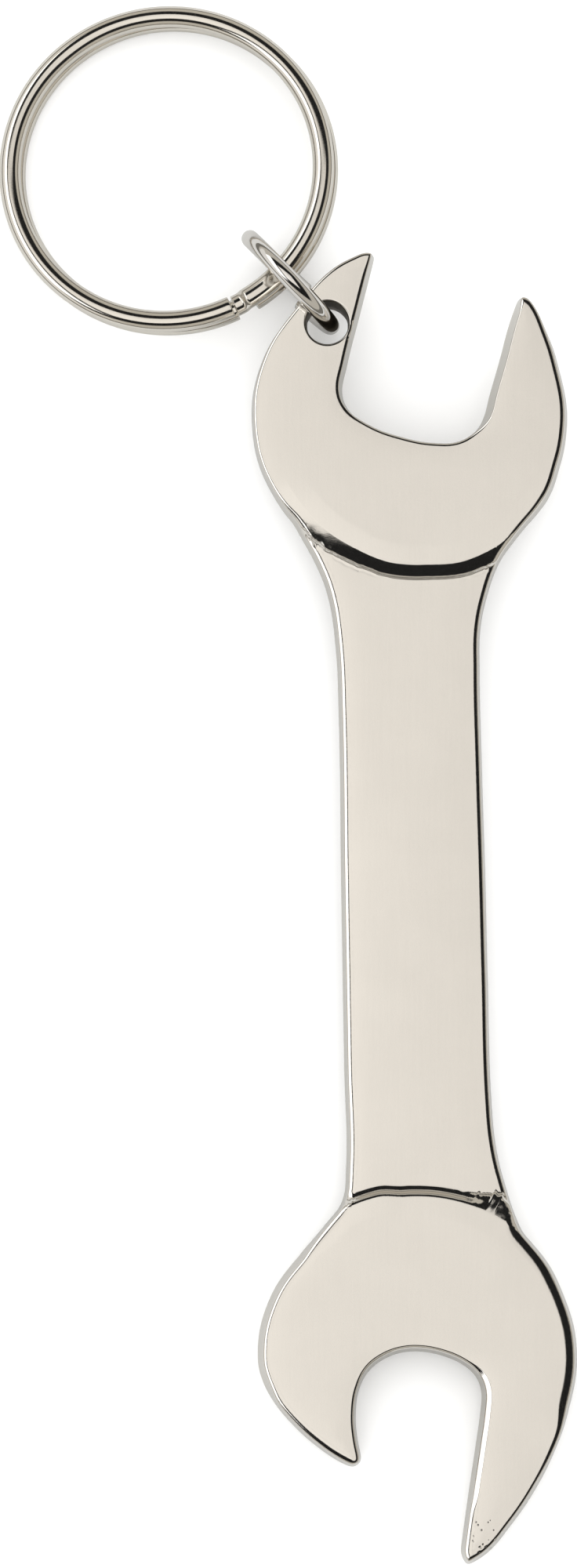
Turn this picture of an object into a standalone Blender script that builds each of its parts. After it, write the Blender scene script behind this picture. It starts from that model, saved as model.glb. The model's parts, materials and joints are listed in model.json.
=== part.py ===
"""Keychain bottle opener: a flat die-cast opener shaped like a double open-ended spanner, a jump
ring through its hole, and a two-turn split key ring. Units are millimetres until MM turns them
into metres. The opener lies on its back on the plane Z = 0, its length along Y: one end is
propped up by the jump ring, whose wire passes under it.
"""

import math

import bmesh
import bpy
from mathutils import Vector

MM = 0.001

# Opener, in its own frame: X across, Y along towards the key ring, Z up, origin at mid-thickness
HEAD_RADIUS = 11.65
HEAD_THICKNESS = 4.0
SHAFT_THICKNESS = 2.9
EDGE_ROUNDING = 0.35
ROUNDED_ABOVE = math.radians(50.0)
FLAT_WITHIN = math.radians(8.0)
JAW_HEAD_CENTRE = (-0.55, 34.10)
CAP_HEAD_CENTRE = (-0.10, -35.20)
HOLE_CENTRE = (-6.60, 40.84)
HOLE_RADIUS = 1.5
HOLE_SIDES = 32
CURVE_STEPS = 5

# Jump ring: butted ends, a little out of line
JUMP_WIRE = 1.30
JUMP_RADIUS = 4.38
JUMP_HEADING = math.radians(135.0)
JUMP_FROM_HOLE = 4.28
JUMP_LEAN = 0.85
JUMP_PITCH = 0.80
JUMP_GAP_AT = math.radians(-101.0)
JUMP_GAP = math.radians(6.0)
JUMP_POINTS = 36
WIRE_QUARTER_SIDES = 2

# Split ring: two turns of flattened wire, 25 mm outside
SPLIT_OUTSIDE = 25.0
SPLIT_WIRE_WIDTH = 1.60
SPLIT_WIRE_HEIGHT = 1.40
SPLIT_PITCH = 1.50
SPLIT_RADIUS = (SPLIT_OUTSIDE - SPLIT_WIRE_WIDTH) / 2
SPLIT_HEADING = math.radians(133.8)
SPLIT_START = math.radians(-55.5)
JOGGLE_START = math.radians(293.5)
JOGGLE_END = math.radians(302.0)
SPLIT_END = math.radians(652.0)
LOWER_TURN_SHIFT = (0.40, 0.20)
SPLIT_STEP = math.radians(7.5)
SPLIT_WIRE_SIDES = 10
JOGGLE_STEPS = 4
SPLIT_REACH = 1.18
SPLIT_CLEARANCE = 0.30

# Rest pose: the back edge of the cap head's tip and the bottom of the jump ring touch Z = 0
OPENER_AT = (9.73, -7.76)
TIP_Y = -50.3
JUMP_HEIGHT = JUMP_RADIUS + JUMP_WIRE / 2

SHARP_ABOVE = math.radians(35.0)


def arc(centre, radius, first, last, steps):
    """Points on an arc, angles in degrees, both ends included."""
    turns = [math.radians(first + (last - first) * i / steps) for i in range(steps + 1)]
    return [(centre[0] + radius * math.cos(t), centre[1] + radius * math.sin(t)) for t in turns]


def smooth(*points):
    return [(point, "AUTO") for point in points]


def corner(*points):
    return [(point, "VECTOR") for point in points]


def jaw_head_outline():
    """The head with the hole: a disc with a straight-sided open jaw."""
    return (
        corner((-3.05, 46.20), (-3.95, 46.28))
        + smooth((-6.35, 44.97))
        + smooth(*arc(JAW_HEAD_CENTRE, HEAD_RADIUS, 135, 380, 10))
        + smooth((9.50, 40.65), (8.75, 42.15), (8.15, 42.88))
        + corner((7.55, 43.02))
        + smooth((6.81, 40.93), (6.10, 38.24), (5.34, 35.61))
        + smooth((4.90, 33.95), (4.35, 33.02), (3.10, 32.17))
        + smooth((1.30, 32.05), (-1.03, 32.47), (-3.60, 33.45))
        + smooth((-5.05, 34.60), (-5.52, 35.75), (-5.19, 37.73), (-4.20, 41.71))
    )


def cap_head_outline():
    """The opening head: a disc with a hooked mouth for the rim of a crown cap."""
    return (
        corner((3.45, -50.25))
        + smooth((5.00, -49.25), (6.55, -47.45), (8.37, -44.85), (9.89, -41.90))
        + smooth(*arc(CAP_HEAD_CENTRE, HEAD_RADIUS, -20, 25, 2))
        + smooth(*arc(CAP_HEAD_CENTRE, HEAD_RADIUS + 0.20, 42, 60, 1))
        + smooth(*arc(CAP_HEAD_CENTRE, HEAD_RADIUS - 0.30, 125, 142, 1))
        + smooth(*arc(CAP_HEAD_CENTRE, HEAD_RADIUS, 160, 180, 1))
        + smooth((-11.45, -36.65), (-10.70, -38.15), (-9.34, -39.85), (-7.45, -41.56))
        + smooth((-5.68, -42.74))
        + corner((-4.75, -43.15), (-4.14, -42.65))
        + smooth((-4.54, -40.59), (-4.60, -39.00), (-4.35, -37.40), (-3.65, -36.10))
        + smooth((-2.50, -35.20), (-1.20, -34.74), (0.10, -34.67), (1.65, -34.96))
        + smooth((3.19, -35.62), (4.16, -36.50), (4.56, -37.60), (4.50, -38.80))
        + smooth((4.14, -41.39), (3.56, -45.20))
        + corner((2.98, -49.30))
    )


def shaft_outline():
    """The shaft, flared at both ends into the heads' discs, where it stops inside them."""
    left = (
        corner((-9.95, 27.70))
        + smooth((-8.73, 25.42), (-7.40, 22.95), (-6.60, 20.80), (-6.05, 17.30))
        + smooth((-5.80, 12.00), (-5.64, 0.00), (-5.42, -14.00), (-5.30, -21.50))
        + smooth((-5.60, -23.80), (-6.64, -25.20))
        + corner((-8.60, -27.50))
    )
    right = (
        corner((9.00, -28.20))
        + smooth((7.68, -26.17), (6.15, -21.88), (5.64, -19.53), (5.36, -16.50))
        + smooth((5.10, -7.00), (4.95, 0.00), (4.74, 7.50), (4.58, 15.50))
        + smooth((4.64, 18.30), (5.10, 20.60), (6.06, 23.25), (7.00, 24.62))
        + smooth((8.12, 26.01), (9.07, 27.10), (9.86, 28.33))
        + corner((10.20, 29.90))
    )
    return left + right


def clear_scene():
    for thing in list(bpy.data.objects):
        bpy.data.objects.remove(thing)


def collection(name):
    made = bpy.data.collections.new(name)
    bpy.context.scene.collection.children.link(made)
    return made


def metal(name, colour, roughness):
    material = bpy.data.materials.new(name)
    material.use_nodes = True
    shader = material.node_tree.nodes["Principled BSDF"]
    shader.inputs["Base Color"].default_value = (*colour, 1.0)
    shader.inputs["Metallic"].default_value = 1.0
    shader.inputs["Roughness"].default_value = roughness
    return material


def finish(thing, group, material, parent=None):
    group.objects.link(thing)
    thing.data.materials.clear()
    thing.data.materials.append(material)
    thing.parent = parent
    return thing


def mesh_of(curve_data, name):
    """A closed mesh of a curve, caps welded to the sides."""
    carrier = bpy.data.objects.new(name + "_curve", curve_data)
    bpy.context.scene.collection.objects.link(carrier)
    bpy.context.view_layer.update()
    graph = bpy.context.evaluated_depsgraph_get()
    mesh = bpy.data.meshes.new_from_object(carrier.evaluated_get(graph))
    bpy.data.objects.remove(carrier)
    shape = bmesh.new()
    shape.from_mesh(mesh)
    bmesh.ops.remove_doubles(shape, verts=shape.verts, dist=0.001 * MM)
    bmesh.ops.recalc_face_normals(shape, faces=shape.faces)
    shape.to_mesh(mesh)
    shape.free()
    mesh.name = name
    return mesh


def merge_flat_faces(mesh):
    """Each flat side of a plate becomes one face, so that its edges can be rounded."""
    shape = bmesh.new()
    shape.from_mesh(mesh)
    for side in (1, -1):
        flat = [face for face in shape.faces if face.normal.z * side > math.cos(FLAT_WITHIN)]
        bmesh.ops.dissolve_faces(shape, faces=flat)
    shape.to_mesh(mesh)
    shape.free()
    return mesh


def plate(name, outline, thickness):
    """A flat plate with rounded edges, from an outline of smooth and corner points."""
    curve = bpy.data.curves.new(name, "CURVE")
    curve.dimensions = "2D"
    curve.fill_mode = "BOTH"
    curve.extrude = thickness / 2 * MM
    curve.resolution_u = CURVE_STEPS
    spline = curve.splines.new("BEZIER")
    spline.bezier_points.add(len(outline) - 1)
    for knot, ((x, y), kind) in zip(spline.bezier_points, outline):
        knot.co = (x * MM, y * MM, 0)
        knot.handle_left_type = kind
        knot.handle_right_type = kind
    spline.use_cyclic_u = True
    thing = bpy.data.objects.new(name, merge_flat_faces(mesh_of(curve, name)))
    rounding = thing.modifiers.new("edge_rounding", "BEVEL")
    rounding.width = EDGE_ROUNDING * MM
    rounding.segments = 2
    rounding.limit_method = "ANGLE"
    rounding.angle_limit = ROUNDED_ABOVE
    return thing


def hide_operand(thing, group, parent):
    group.objects.link(thing)
    thing.parent = parent
    thing.hide_render = True
    thing.display_type = "WIRE"
    return thing


def join(thing, other, operation):
    step = thing.modifiers.new(operation.lower() + "_" + other.name, "BOOLEAN")
    step.operation = operation
    step.object = other
    step.solver = "EXACT"


def hole_drill():
    bpy.ops.mesh.primitive_cylinder_add(
        vertices=HOLE_SIDES, radius=HOLE_RADIUS * MM, depth=2 * HEAD_THICKNESS * MM
    )
    drill = bpy.context.active_object
    drill.name = "hole_drill"
    for owner in list(drill.users_collection):
        owner.objects.unlink(drill)
    drill.location = (HOLE_CENTRE[0] * MM, HOLE_CENTRE[1] * MM, 0)
    return drill


def make_opener(parts, operands, pose, material):
    """One die casting: the shaft, with a thicker head joined on at each end, and the hole."""
    body = finish(plate("opener_body", shaft_outline(), SHAFT_THICKNESS), parts, material, pose)
    for name, outline in (("jaw_head", jaw_head_outline()), ("cap_head", cap_head_outline())):
        head = hide_operand(plate(name, outline, HEAD_THICKNESS), operands, pose)
        join(body, head, "UNION")
    join(body, hide_operand(hole_drill(), operands, pose), "DIFFERENCE")
    return body


def wire(name, points, section):
    """A wire along points. section is its diameter, or an outline curve for wire that isn't round."""
    curve = bpy.data.curves.new(name, "CURVE")
    curve.dimensions = "3D"
    curve.use_fill_caps = True
    if isinstance(section, bpy.types.Object):
        curve.bevel_mode = "OBJECT"
        curve.bevel_object = section
        curve.twist_mode = "Z_UP"
    else:
        curve.bevel_depth = section / 2 * MM
        curve.bevel_resolution = WIRE_QUARTER_SIDES
    spline = curve.splines.new("POLY")
    spline.points.add(len(points) - 1)
    for knot, point in zip(spline.points, points):
        knot.co = (*(Vector(point) * MM), 1)
    return bpy.data.objects.new(name, mesh_of(curve, name))


def jump_ring_points():
    """One turn in an upright plane through the hole. X runs outwards, Y sideways, from the hole."""
    points = []
    sweep = 2 * math.pi - JUMP_GAP
    for i in range(JUMP_POINTS + 1):
        turn = JUMP_GAP_AT + JUMP_GAP / 2 + sweep * i / JUMP_POINTS
        lean = JUMP_LEAN * (1 - math.sin(turn)) / 2
        pitch = JUMP_PITCH * (math.pi / 2 - turn) / (2 * math.pi)
        points.append(
            (
                JUMP_FROM_HOLE + JUMP_RADIUS * math.cos(turn),
                -(lean + pitch),
                JUMP_RADIUS * math.sin(turn),
            )
        )
    return points


def ease(value):
    value = min(max(value, 0.0), 1.0)
    return value * value * (3 - 2 * value)


def split_ring_points():
    """Two turns joined by a short joggle. Angles are in the world, seen from above."""
    count = round((SPLIT_END - SPLIT_START) / SPLIT_STEP)
    turns = [SPLIT_START + (SPLIT_END - SPLIT_START) * i / count for i in range(count + 1)]
    joggle = JOGGLE_END - JOGGLE_START
    step = joggle / JOGGLE_STEPS
    turns = [t for t in turns if not JOGGLE_START - step < t < JOGGLE_END + step]
    turns += [JOGGLE_START + step * i for i in range(JOGGLE_STEPS + 1)]
    points = []
    for turn in sorted(turns):
        rise = ease((turn - JOGGLE_START) / joggle)
        points.append(
            (
                SPLIT_RADIUS * math.cos(turn) + LOWER_TURN_SHIFT[0] * (1 - rise),
                SPLIT_RADIUS * math.sin(turn) + LOWER_TURN_SHIFT[1] * (1 - rise),
                SPLIT_PITCH * (rise - 0.5),
            )
        )
    return points


def split_wire_section(operands):
    curve = bpy.data.curves.new("split_wire_section", "CURVE")
    curve.dimensions = "2D"
    spline = curve.splines.new("POLY")
    spline.points.add(SPLIT_WIRE_SIDES - 1)
    for i, knot in enumerate(spline.points):
        turn = 2 * math.pi * (i + 0.5) / SPLIT_WIRE_SIDES
        knot.co = (
            SPLIT_WIRE_WIDTH / 2 * MM * math.cos(turn),
            SPLIT_WIRE_HEIGHT / 2 * MM * math.sin(turn),
            0,
            1,
        )
    spline.use_cyclic_u = True
    return hide_operand(bpy.data.objects.new("split_wire_section", curve), operands, None)


def heading(angle):
    return Vector((math.cos(angle), math.sin(angle), 0.0))


def opener_pose():
    """Where the opener's frame is: its tilt, its origin, and the centre of the hole, in mm."""
    run = HOLE_CENTRE[1] + JUMP_FROM_HOLE * math.sin(JUMP_HEADING) - TIP_Y
    tilt = math.asin((JUMP_HEIGHT - HEAD_THICKNESS / 2) / run)
    origin = Vector((*OPENER_AT, HEAD_THICKNESS / 2 - TIP_Y * math.sin(tilt)))
    hole = origin + Vector(
        (HOLE_CENTRE[0], HOLE_CENTRE[1] * math.cos(tilt), HOLE_CENTRE[1] * math.sin(tilt))
    )
    return tilt, origin, Vector((hole.x, hole.y, JUMP_HEIGHT))


def split_ring_pose(hole):
    """The split ring's section that sits in the jump ring, and the ring's slope down to Z = 0."""
    inner = JUMP_RADIUS - JUMP_WIRE / 2
    floor = JUMP_HEIGHT - math.sqrt(inner**2 - SPLIT_REACH**2)
    half_height = (SPLIT_PITCH + SPLIT_WIRE_HEIGHT) / 2
    out = JUMP_FROM_HOLE + SPLIT_REACH
    at = hole + heading(JUMP_HEADING) * out
    at.z = floor + SPLIT_CLEARANCE + half_height
    slope = math.asin((at.z - half_height) / (2 * SPLIT_RADIUS))
    return at, slope


def main():
    clear_scene()
    parts = collection("keychain_bottle_opener")
    operands = collection("operands")
    nickel = metal("nickel_plated_zinc", (0.80, 0.77, 0.72), 0.12)
    jump_steel = metal("nickel_plated_jump_wire", (0.78, 0.77, 0.74), 0.15)
    split_steel = metal("nickel_plated_split_wire", (0.78, 0.76, 0.72), 0.18)

    tilt, origin, hole = opener_pose()
    pose = bpy.data.objects.new("opener_pose", None)
    pose.location = origin * MM
    pose.rotation_euler = (tilt, 0, 0)
    parts.objects.link(pose)
    make_opener(parts, operands, pose, nickel)

    jump = finish(wire("jump_ring", jump_ring_points(), JUMP_WIRE), parts, jump_steel)
    jump.location = hole * MM
    jump.rotation_euler = (0, 0, JUMP_HEADING)

    at, slope = split_ring_pose(hole)
    hinge = bpy.data.objects.new("split_ring_hinge", None)
    hinge.location = at * MM
    hinge.rotation_euler = (0, slope, SPLIT_HEADING)
    parts.objects.link(hinge)
    split = finish(
        wire("split_ring", split_ring_points(), split_wire_section(operands)), parts, split_steel
    )
    split.parent = hinge
    split.location = (SPLIT_RADIUS * MM, 0, 0)
    split.rotation_euler = (0, 0, -SPLIT_HEADING)

    for thing in parts.objects:
        if thing.type == "MESH":
            thing.data.shade_smooth()
            thing.data.set_sharp_from_angle(angle=SHARP_ABOVE)


main()
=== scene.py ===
"""Looks of the keychain bottle opener: the nickel-plated casting and its two rings, on a pale floor.

Lengths are in millimetres until MM turns them into metres. The opener is shaped in its own frame,
as in the CAD model: X across, Y along towards the key ring, Z up, origin at mid-thickness.
"""

import json
import math

import bpy
import numpy as np
from mathutils import Matrix, Vector, geometry


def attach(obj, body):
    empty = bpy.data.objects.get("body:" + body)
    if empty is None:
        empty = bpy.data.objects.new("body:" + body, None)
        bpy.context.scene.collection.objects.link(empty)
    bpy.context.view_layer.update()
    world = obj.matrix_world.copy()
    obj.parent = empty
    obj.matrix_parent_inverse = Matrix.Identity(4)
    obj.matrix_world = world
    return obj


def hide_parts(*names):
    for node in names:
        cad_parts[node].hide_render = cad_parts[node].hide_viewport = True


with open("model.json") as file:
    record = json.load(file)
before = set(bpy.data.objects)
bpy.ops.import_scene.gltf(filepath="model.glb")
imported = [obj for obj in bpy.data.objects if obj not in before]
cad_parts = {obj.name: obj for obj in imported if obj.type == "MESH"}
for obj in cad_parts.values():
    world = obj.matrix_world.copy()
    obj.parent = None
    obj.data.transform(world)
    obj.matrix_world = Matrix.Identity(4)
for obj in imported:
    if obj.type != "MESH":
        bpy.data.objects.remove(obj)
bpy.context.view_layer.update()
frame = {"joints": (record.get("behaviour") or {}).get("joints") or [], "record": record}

MM = 0.001

# Opener, the same driving sizes as the CAD model
HEAD_RADIUS = 11.65
HEAD_HALF = 2.0
SHAFT_HALF = 1.45
JAW_HEAD_CENTRE = (-0.55, 34.10)
CAP_HEAD_CENTRE = (-0.10, -35.20)
HOLE_CENTRE = (-6.60, 40.84)
HOLE_RADIUS = 1.5

# Rings
JUMP_WIRE = 1.30
JUMP_RADIUS = 4.38
JUMP_HEADING = math.radians(135.0)
JUMP_FROM_HOLE = 4.28
JUMP_LEAN = 0.85
JUMP_PITCH = 0.80
JUMP_GAP_AT = math.radians(-101.0)
JUMP_GAP = math.radians(6.0)
JUMP_STEPS = 260
JUMP_SQUARENESS = 2.0
JUMP_END_SOFTNESS = 0.07
SPLIT_WIRE_WIDTH = 1.60
SPLIT_WIRE_HEIGHT = 1.40
SPLIT_SQUARENESS = 2.08
SPLIT_END_SOFTNESS = 0.10
SPLIT_PITCH = 1.50
SPLIT_RADIUS = 11.7
SPLIT_HEADING = math.radians(133.8)
SPLIT_START = math.radians(-57.5)
JOGGLE_START = math.radians(294.6)
JOGGLE_FLAT = math.radians(295.7)
JOGGLE_RISE = math.radians(298.2)
JOGGLE_END = math.radians(301.2)
SPLIT_END = math.radians(654.1)
# How much of the rise from the lower turn to the upper one is in its first stage
FIRST_RISE = 0.76
LOWER_TURN_SHIFT = (0.20, 0.12)
TURN_STEPS = 440
JOGGLE_STEPS = 90

# How finely the visible surfaces are made
WIRE_SIDES = 44
WIRE_SHARP_ANGLE = math.radians(50)
CURVE_STEPS = 16
OUTLINE_SPACING = 0.18
OUTLINE_SMOOTHING = 6
FACE_SPACING = 0.9
FACE_X_LIMITS = (-13, 13)
FACE_Y_LIMITS = (-52, 48)
COVE_ROW_SPACING = 0.13
FACE_ROWS_PAST_EDGE = (0.12, 0.40, 0.95)
CELL = 0.012
# How far clear of the rounded edge the points of the grid, the coves and the pits stay
GRID_CLEARANCE = 1.3
COVE_CLEARANCE = 0.08
PIT_CLEARANCE = 0.05
# The band round each raised face's edge, inward and outward, that has its own rows in place of the grid
COVE_BAND = (1.9, 2.6)
PIT_RING_SIDES = 8
PIT_RINGS = (0.0, 0.5, 1.0, 1.6, 2.4)
OUTLINE_CLEARANCE = 0.02
ROW_TOLERANCE = 0.006
LEAST_TWICE_AREA = 1e-9
SLOPE_PROBE = 0.01
# Points measured against the outline at a time, to save memory
POINTS_AT_ONCE = 1500

# The heads' steps down to the shaft. centre and radius are of the raised face, and width is the cove's.
# wider, larger and ragged change the width, the radius and the raggedness along the arc. Each row gives
# the first and last angle and the softness in degrees, then the amount. rows is the arc, in degrees, on
# which close rows of vertices lie, and unevenness is how much a ragged cove's width wanders.
STEPS = {
    "jaw": {
        "centre": (0.0, 33.90),
        "radius": 10.98,
        "width": 1.12,
        "wider": ((190, 232, 22, 0.22),),
        "larger": ((288, 302, 16, 0.25), (190, 240, 22, -0.28)),
        "ragged": ((224, 254, 8, 1.0), (290, 303, 6, 0.8)),
        "rows": (190, 350),
        "unevenness": 0.10,
    },
    "cap": {
        "centre": (-0.10, -35.20),
        "radius": 11.75,
        "width": 0.90,
        "wider": ((30, 60, 16, 0.80),),
        "larger": ((104, 116, 10, 0.30),),
        "ragged": ((52, 72, 8, 1.0), (74, 120, 8, 0.2)),
        "rows": (10, 170),
        "unevenness": 0.25,
    },
}
# How steep each cove is from the raised face down to the shaft: places across it, and relative slopes
COVES = {
    "jaw": (
        (0.0, 0.06, 0.90, 0.97, 1.04, 1.12),
        (0.0, 0.34, 0.42, 1.60, 1.60, 0.0),
    ),
    "cap": (
        (0.0, 0.04, 0.20, 0.26, 0.44, 0.52, 0.82, 0.90),
        (0.0, 0.28, 0.40, 1.50, 1.50, 0.40, 0.25, 0.0),
    ),
}
# The cap head's cove takes the jaw head's slopes at its right end: first and last angle, softness
CAP_COVE_AS_JAW = (20, 64, 12)
# Ragged teeth on the cap head's cove: first and last angle, softness, all in degrees
CAP_TEETH = (50, 66, 8)
# A low groove just past the ragged parts of the jaw head's cove
GROOVE_FROM_COVE = 0.17
GROOVE_WIDTH = 0.065
GROOVE_DEPTH = 0.016
# How the raised face rounds off towards its cove
FACE_DROP = 0.036
FACE_DROP_REACH = 1.35
FACE_DROP_POWER = 1.2

# Slow waves in the polished faces: height, size and seed of each
WAVES = ((0.006, 9.0, 11), (0.0022, 3.1, 12))
# The shaft's faces are slightly crowned, most at mid-length
CROWN_HALF_LENGTH = 24
CROWN_CENTRE_X = -0.3
CROWN_FALL = 0.0011
# The faces dip towards the edges by this much, over this distance
EDGE_DIP = 0.020
EDGE_DIP_REACH = 0.7

# The rounded edge by region: width, radius of the gentle arc, facet length and radius of the tight arc.
# The gentle arc turns through SOFT_TURN, and the tight one from there to the wall
SOFT_TURN = math.radians(24.0)
PLAIN_EDGE = (0.70, 1.00, 0.0, 0.22)
NARROWER_ON_THE_RIGHT = 0.05
EDGES = {
    "jaw_left": (0.46, 0.45, 0.0, 0.18),
    "jaw_right": (0.74, 0.95, 0.0, 0.30),
    "jaw_wall": (0.64, 0.86, 0.0, 0.12),
    "prong_wall": (0.64, 0.14, 0.0, 0.12),
    "cap_left": (0.80, 0.66, 0.0, 0.22),
    "cap_right": (1.26, 2.30, 0.0, 0.24),
    "long_prong": (0.60, 0.62, 0.0, 0.18),
    "jaw_floor": (0.44, 0.46, 0.0, 0.20),
    "mouth_left": (0.46, 0.55, 0.0, 0.18),
    "mouth_top": (0.50, 0.26, 0.0, 0.34),
    "mouth_right": (0.78, 0.30, 0.28, 0.22),
}
EDGE_SMOOTHING = 14
HOLE_EDGE = (0.30, 0.36, 0.0, 0.10)
HOLE_SIDES = 64
HOLE_CLEARANCE = 0.42
# The painted shade in the hole spreads this far out from the bore, and fades over a little more
PAINTED_BORE_SHADE_DEPTH = 0.14
PAINTED_BORE_SHADE_FADE = 0.05

PIT_SIZES = (0.035, 0.075)
PIT_DEPTH_TO_SIZE = 0.35


def scattered(count, low, high, seed):
    """Small pits in a box: x, y and size of each."""
    draw = np.random.default_rng(seed)
    return [(*draw.uniform(low, high), draw.uniform(*PIT_SIZES)) for _ in range(count)]


# Casting pits, all near the tip of the cap head's longer prong
PITS = scattered(16, (3.7, -49.0), (5.6, -46.6), 3) + scattered(5, (4.2, -49.3), (4.6, -48.8), 8)


def arc(centre, radius, first, last, steps):
    """Points on an arc, angles in degrees, both ends included."""
    turns = [math.radians(first + (last - first) * i / steps) for i in range(steps + 1)]
    return [(centre[0] + radius * math.cos(t), centre[1] + radius * math.sin(t)) for t in turns]


def smooth(*points):
    return [(point, "AUTO") for point in points]


def corner(*points):
    return [(point, "VECTOR") for point in points]


def jaw_head_outline():
    return (
        corner((-3.05, 46.20), (-3.95, 46.28))
        + smooth((-6.35, 44.97))
        + smooth(*arc(JAW_HEAD_CENTRE, HEAD_RADIUS, 135, 380, 10))
        + smooth((9.50, 40.65), (8.75, 42.15), (8.15, 42.88))
        + corner((7.55, 43.02))
        + smooth((6.81, 40.93), (6.10, 38.24), (5.34, 35.61))
        + smooth((4.90, 33.95), (4.35, 33.02), (3.10, 32.17))
        + smooth((1.30, 32.05), (-1.03, 32.47), (-3.60, 33.45))
        + smooth((-5.05, 34.60), (-5.52, 35.75), (-5.19, 37.73), (-4.20, 41.71))
    )


def cap_head_outline():
    return (
        corner((3.45, -50.25))
        + smooth((5.00, -49.25), (6.55, -47.45), (8.37, -44.85), (9.89, -41.90))
        + smooth(*arc(CAP_HEAD_CENTRE, HEAD_RADIUS, -20, 25, 2))
        + smooth(*arc(CAP_HEAD_CENTRE, HEAD_RADIUS + 0.20, 42, 60, 1))
        + smooth(*arc(CAP_HEAD_CENTRE, HEAD_RADIUS - 0.22, 122, 140, 1))
        + smooth(*arc(CAP_HEAD_CENTRE, HEAD_RADIUS, 160, 180, 1))
        + smooth((-11.45, -36.65), (-10.70, -38.15), (-9.34, -39.85), (-7.45, -41.56))
        + smooth((-5.68, -42.74))
        + corner((-4.75, -43.15), (-4.14, -42.65))
        + smooth((-4.54, -40.59), (-4.60, -39.00), (-4.35, -37.40), (-3.65, -36.10))
        + smooth((-2.50, -35.20), (-1.20, -34.74), (0.10, -34.67), (1.65, -34.96))
        + smooth((3.19, -35.62), (4.16, -36.50), (4.56, -37.60), (4.50, -38.80))
        + smooth((4.14, -41.39), (3.56, -45.20))
        + corner((2.98, -49.30))
    )


def shaft_outline():
    left = (
        corner((-9.95, 27.70))
        + smooth((-8.73, 25.42), (-7.40, 22.95), (-6.60, 20.80), (-6.05, 17.30))
        + smooth((-5.80, 12.00), (-5.64, 0.00), (-5.42, -14.00), (-5.30, -21.50))
        + smooth((-5.60, -23.80), (-6.64, -25.20))
        + corner((-8.60, -27.50))
    )
    right = (
        corner((9.00, -28.20))
        + smooth((7.68, -26.17), (6.15, -21.88), (5.64, -19.53), (5.36, -16.50))
        + smooth((5.10, -7.00), (4.95, 0.00), (4.74, 7.50), (4.58, 15.50))
        + smooth((4.64, 18.30), (5.10, 20.60), (6.06, 23.25), (7.00, 24.62))
        + smooth((8.12, 26.01), (9.07, 27.10), (9.86, 28.33))
        + smooth((10.40, 29.90))
        + corner((10.75, 31.50))
    )
    return left + right


# ---------------------------------------------------------------- shaping helpers


def ease(value):
    value = np.clip(value, 0.0, 1.0)
    return value * value * (3 - 2 * value)


def hashed(cells):
    """A repeatable number from 0 to 1 for each row of whole numbers."""
    mixed = np.zeros(len(cells), np.uint64)
    for column, prime in zip(cells.T, (73856093, 19349663, 83492791)):
        mixed ^= (column.astype(np.int64) * prime).astype(np.uint64)
    mixed = (mixed ^ (mixed >> np.uint64(13))) * np.uint64(1274126177)
    return ((mixed ^ (mixed >> np.uint64(16))) & np.uint64(0xFFFF)).astype(float) / 0xFFFF


def noise(points, size, seed=0):
    """Smooth noise from -1 to 1 on a plane, with features of that size."""
    scaled = np.asarray(points, float) / size
    base = np.floor(scaled)
    part = scaled - base
    part = part * part * (3 - 2 * part)
    total = np.zeros(len(scaled))
    for dx in (0, 1):
        for dy in (0, 1):
            cells = np.column_stack([base[:, 0] + dx, base[:, 1] + dy, np.full(len(base), seed)])
            weight = (part[:, 0] if dx else 1 - part[:, 0]) * (part[:, 1] if dy else 1 - part[:, 1])
            total += weight * hashed(cells)
    return 2 * total - 1


def curve_loop(knots):
    """The points of a closed curve through smooth and corner knots."""
    curve = bpy.data.curves.new("outline", "CURVE")
    curve.dimensions = "2D"
    curve.fill_mode = "NONE"
    curve.resolution_u = CURVE_STEPS
    spline = curve.splines.new("BEZIER")
    spline.bezier_points.add(len(knots) - 1)
    for knot, ((x, y), kind) in zip(spline.bezier_points, knots):
        knot.co = (x, y, 0)
        knot.handle_left_type = kind
        knot.handle_right_type = kind
    spline.use_cyclic_u = True
    carrier = bpy.data.objects.new("outline", curve)
    bpy.context.scene.collection.objects.link(carrier)
    bpy.context.view_layer.update()
    evaluated = carrier.evaluated_get(bpy.context.evaluated_depsgraph_get())
    mesh = bpy.data.meshes.new_from_object(evaluated)
    points = np.array([vertex.co[:2] for vertex in mesh.vertices])
    bpy.data.objects.remove(carrier)
    bpy.data.curves.remove(curve)
    bpy.data.meshes.remove(mesh)
    return points


def union_loop(loops):
    """The outer boundary of overlapping closed loops, anticlockwise."""
    points = [Vector(p) for loop in loops for p in loop]
    starts = np.cumsum([0] + [len(loop) for loop in loops])
    faces = [list(range(a, b)) for a, b in zip(starts, starts[1:])]
    found, _, triangles, *_ = geometry.delaunay_2d_cdt(points, [], faces, 1, 1e-5)
    after = {}
    for triangle in triangles:
        for a, b in zip(triangle, triangle[1:] + triangle[:1]):
            after.setdefault(a, set()).add(b)
    border = {a: b for a, ends in after.items() for b in ends if a not in after.get(b, set())}
    best = []
    while border:
        first, at = next(iter(border.items()))
        del border[first]
        loop = [first]
        while at != first:
            loop.append(at)
            at = border.pop(at)
        best = max(best, loop, key=len)
    outline = np.array([found[i][:2] for i in best])
    x, y = outline.T
    turning = np.sum(x * np.roll(y, -1) - y * np.roll(x, -1))
    return outline if turning > 0 else outline[::-1]


def resample(loop, spacing):
    closed = np.vstack([loop, loop[:1]])
    along = np.concatenate([[0], np.cumsum(np.linalg.norm(np.diff(closed, axis=0), axis=1))])
    at = np.linspace(0, along[-1], round(along[-1] / spacing), endpoint=False)
    return np.column_stack([np.interp(at, along, closed[:, i]) for i in (0, 1)])


def relax(values, passes):
    for _ in range(passes):
        values = (np.roll(values, 1, 0) + 2 * values + np.roll(values, -1, 0)) / 4
    return values


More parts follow.
